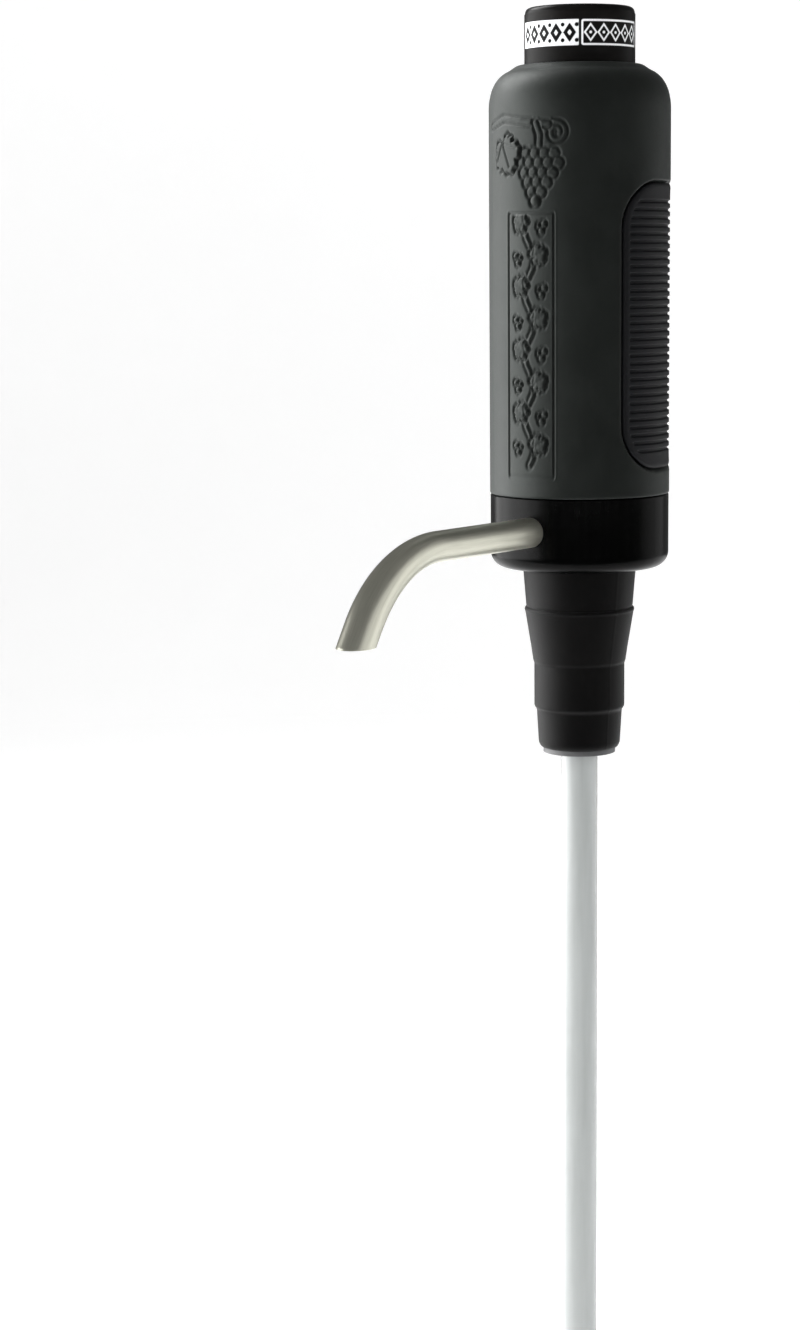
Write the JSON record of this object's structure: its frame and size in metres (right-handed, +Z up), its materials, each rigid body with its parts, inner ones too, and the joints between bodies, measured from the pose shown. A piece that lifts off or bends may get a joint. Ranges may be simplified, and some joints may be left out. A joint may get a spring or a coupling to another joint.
{
  "type": "wine dispenser",
  "caption": "Bottle-top wine dispenser: a pressed gas cartridge in a ribbed grip pushes wine up a dip tube and out of a bent steel spout; a stepped rubber stopper seals the bottle.",
  "frame": {"origin": "on the stopper's axis at the middle of its straight sealing land, 8 mm below the bottle's rim", "axes": "+Z up along the stopper towards the cartridge, -Y the way the spout points, X across"},
  "size_m": [0.0364, 0.0977, 0.39],
  "materials": {
    "soft_touch": "soft-touch coating",
    "grip_rubber": "moulded elastomer",
    "collar_plastic": "semi-gloss moulding",
    "inner_plastic": "moulded",
    "bearing_plastic": "moulded acetal",
    "fastener_steel": "plated",
    "spring_steel": "drawn wire",
    "spout_steel": "satin",
    "seal_rubber": "moulded",
    "stopper_rubber": "moulded",
    "can_aluminium": "black lacquer",
    "cup_aluminium": "bright",
    "label_film": "printed film",
    "clear_plastic": "clear extrusion"
  },
  "bodies": {
    "housing": {"grip_shell": "soft_touch", "grip_pad_right": "grip_rubber", "grip_pad_left": "grip_rubber", "guide_ring": "bearing_plastic", "barrel": "inner_plastic", "base_collar": "collar_plastic", "base_screws": "fastener_steel", "manifold": "inner_plastic", "duckbill_valve": "seal_rubber", "seat_gasket": "seal_rubber", "valve_seat": "bearing_plastic", "seat_screws": "fastener_steel", "stem_o_ring": "seal_rubber", "return_spring": "spring_steel", "spout_tube": "spout_steel", "spout_o_rings": "seal_rubber", "stopper_core": "inner_plastic", "core_o_ring": "seal_rubber", "stopper": "stopper_rubber", "dip_tube": "clear_plastic"},
    "cradle": {"cartridge_cradle": "bearing_plastic"},
    "cartridge": {"cartridge_can": "can_aluminium", "cartridge_label": "label_film", "valve_cup": "cup_aluminium", "cup_gasket": "seal_rubber", "stem_gasket": "seal_rubber", "valve_housing": "bearing_plastic", "valve_spring": "spring_steel"},
    "stem": {"valve_stem": "bearing_plastic"}
  },
  "joints": [
    {"name": "cartridge_press", "type": "slide", "parent": "housing", "child": "cradle", "axis": [0, 0, 1], "range_m": [-0.002, 0], "stiffness_N_per_m": 1500, "springref_m": 0.004, "deforming": ["return_spring"]},
    {"name": "cartridge_lift", "type": "slide", "parent": "cradle", "child": "cartridge", "axis": [0, 0, 1], "range_m": [0, 0.085]},
    {"name": "stem_slide", "type": "slide", "parent": "cartridge", "child": "stem", "axis": [0, 0, 1], "range_m": [0, 0.002], "deforming": ["valve_spring"]}
  ],
  "couplings": [
    {"joint": "stem_slide", "follows": "cartridge_press", "ratio": -1}
  ]
}
